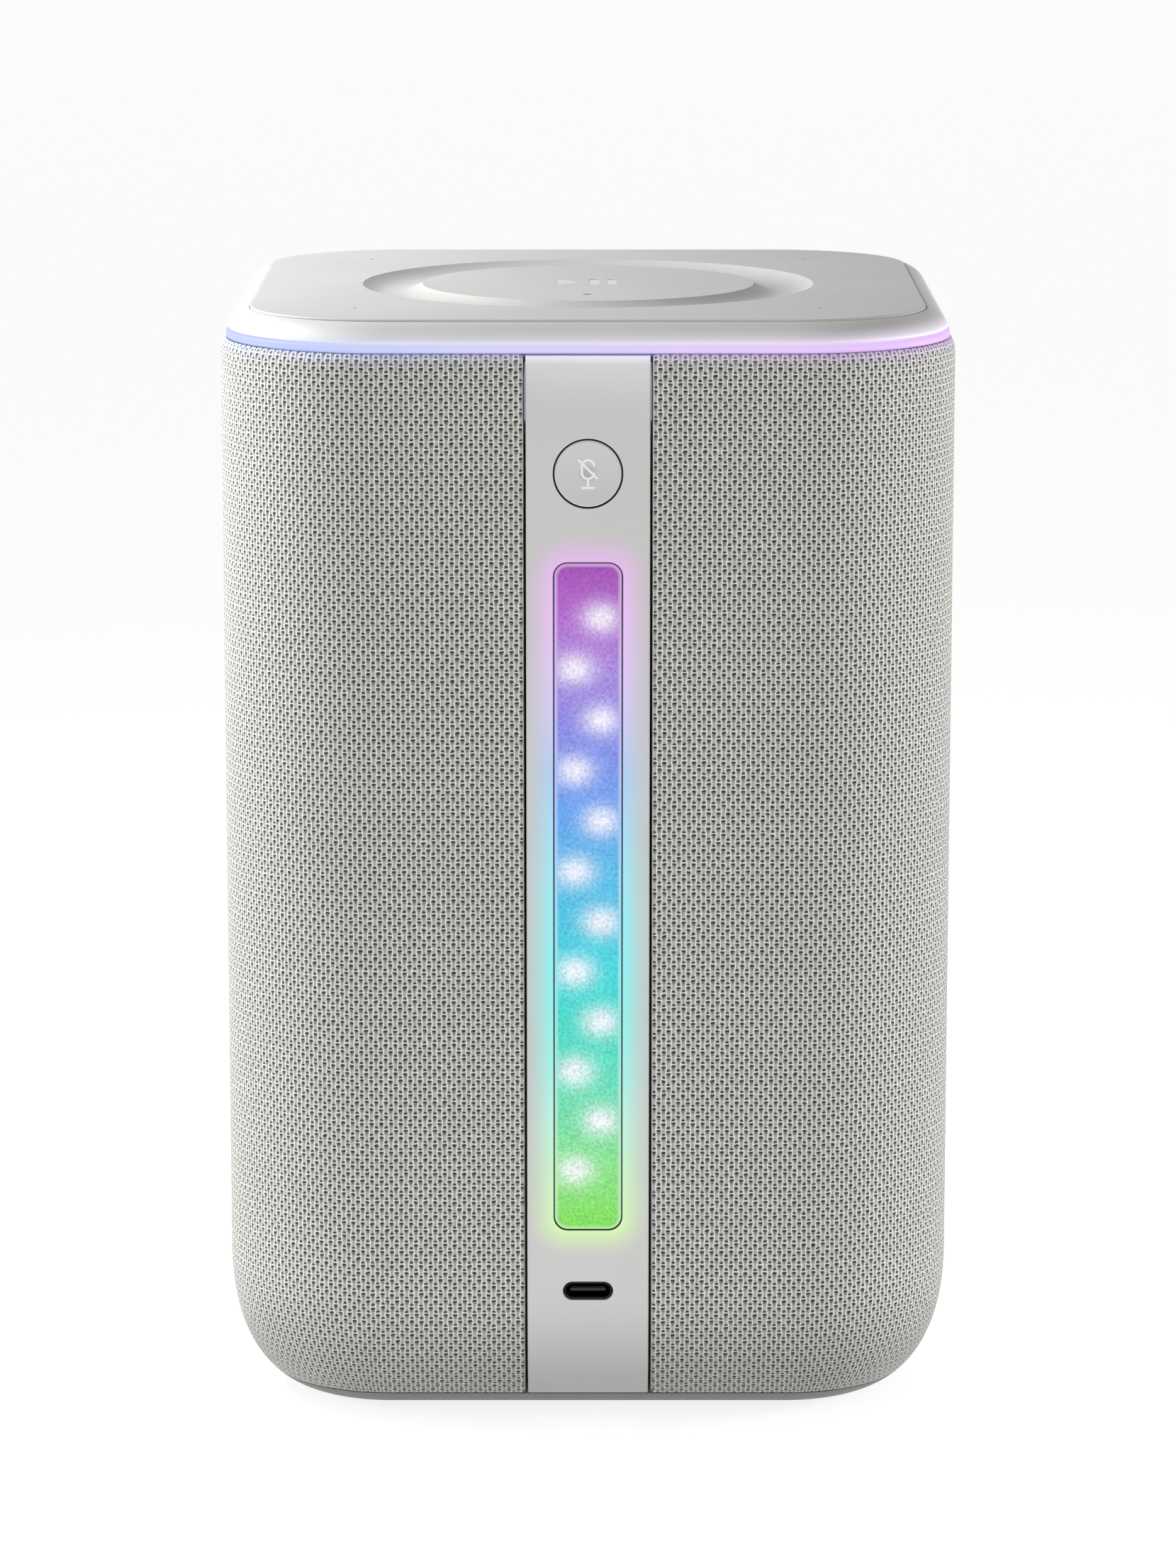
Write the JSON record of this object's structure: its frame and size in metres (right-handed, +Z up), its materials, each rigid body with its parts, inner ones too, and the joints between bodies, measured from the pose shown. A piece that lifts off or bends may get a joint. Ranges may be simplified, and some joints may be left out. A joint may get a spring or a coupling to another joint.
{
  "type": "smart speaker",
  "caption": "Rounded-square table-top speaker in a knitted sleeve, with a touch groove on top, a glowing ring below it and a lit rear spine with a mute button and power inlet.",
  "frame": {"origin": "middle of the footprint, at the surface that the speaker stands on", "axes": "+Z up through the touch plate, -Y out of the rear spine with the button, light bar and inlet, +Y out of the woofer side, +X to the right seen from the spine side"},
  "size_m": [0.1364, 0.1364, 0.207],
  "materials": {
    "knit_sleeve": "warm light grey jersey knit with open stitches",
    "grille_plastic": "moulded, textured",
    "spine_plastic": "fine satin texture",
    "button_plastic": "fine satin texture",
    "bar_diffuser": "milky, lit from behind",
    "ring_diffuser": "milky, lit from inside",
    "lens_plastic": "clear light pipe",
    "frame_plastic": "satin",
    "plate_plastic": "soft-touch satin",
    "base_plastic": "moulded, matt",
    "foot_rubber": "matt silicone",
    "white_plastic": "moulded, matt",
    "circuit_board": "solder mask",
    "led_package": "moulded package",
    "black_plastic": "moulded",
    "dark_plated_steel": "blackened",
    "plated_steel": "bright plated",
    "aluminium": "extruded or stamped",
    "flex_film": "polyimide film",
    "cabinet_plastic": "moulded",
    "cone_paper": "coated paper",
    "surround_rubber": "soft moulded",
    "speaker_cloth": "impregnated cloth",
    "copper_coil": "enamelled winding"
  },
  "bodies": {
    "body": {"fabric_sleeve": "knit_sleeve", "grille_shell": "grille_plastic", "rear_spine": "spine_plastic", "light_bar_window": "bar_diffuser", "light_ring": "ring_diffuser", "status_lens": "lens_plastic", "top_frame": "frame_plastic", "top_plate": "plate_plastic", "base_tray": "base_plastic", "foot_pad": "foot_rubber", "light_reflector": "white_plastic", "rear_board": "circuit_board", "main_board": "circuit_board", "touch_board": "circuit_board", "ring_light_board": "circuit_board", "led_01": "led_package", "led_02": "led_package", "led_03": "led_package", "led_04": "led_package", "led_05": "led_package", "led_06": "led_package", "led_07": "led_package", "led_08": "led_package", "led_09": "led_package", "led_10": "led_package", "led_11": "led_package", "led_12": "led_package", "mute_switch_body": "black_plastic", "usb_tongue": "black_plastic", "tweeter_plate": "black_plastic", "usb_shell": "dark_plated_steel", "woofer_basket": "dark_plated_steel", "woofer_magnet": "dark_plated_steel", "tweeter_motor": "dark_plated_steel", "shield_can": "plated_steel", "base_screw_1": "plated_steel", "base_screw_2": "plated_steel", "base_screw_3": "plated_steel", "base_screw_4": "plated_steel", "microphone_1": "plated_steel", "microphone_2": "plated_steel", "microphone_3": "plated_steel", "microphone_4": "plated_steel", "heat_sink": "aluminium", "rear_flex_cable": "flex_film", "top_flex_cable": "flex_film", "cabinet_tub": "cabinet_plastic", "cabinet_lid": "cabinet_plastic", "woofer_surround": "surround_rubber", "radiator_surround_left": "surround_rubber", "radiator_surround_right": "surround_rubber", "woofer_spider": "speaker_cloth"},
    "mute_button": {"mute_button": "button_plastic", "mute_switch_plunger": "white_plastic"},
    "woofer_diaphragm": {"woofer_cone": "cone_paper", "woofer_voice_coil": "copper_coil"},
    "tweeter_diaphragm": {"tweeter_dome": "speaker_cloth"},
    "left_radiator": {"radiator_plate_left": "aluminium"},
    "right_radiator": {"radiator_plate_right": "aluminium"}
  },
  "joints": [
    {"name": "mute_press", "type": "slide", "parent": "body", "child": "mute_button", "axis": [0, 1, 0], "range_m": [0, 0.0005], "stiffness_N_per_m": 1500},
    {"name": "woofer_stroke", "type": "slide", "parent": "body", "child": "woofer_diaphragm", "axis": [0, 1, 0], "range_m": [-0.0035, 0.0035], "stiffness_N_per_m": 1200, "deforming": ["woofer_surround", "woofer_spider"]},
    {"name": "tweeter_stroke", "type": "slide", "parent": "body", "child": "tweeter_diaphragm", "axis": [0, 1, 0], "range_m": [-0.0003, 0.0003], "stiffness_N_per_m": 800},
    {"name": "left_radiator_stroke", "type": "slide", "parent": "body", "child": "left_radiator", "axis": [-1, 0, 0], "range_m": [-0.004, 0.004], "stiffness_N_per_m": 1200, "deforming": ["radiator_surround_left"]},
    {"name": "right_radiator_stroke", "type": "slide", "parent": "body", "child": "right_radiator", "axis": [1, 0, 0], "range_m": [-0.004, 0.004], "stiffness_N_per_m": 1200, "deforming": ["radiator_surround_right"]}
  ]
}
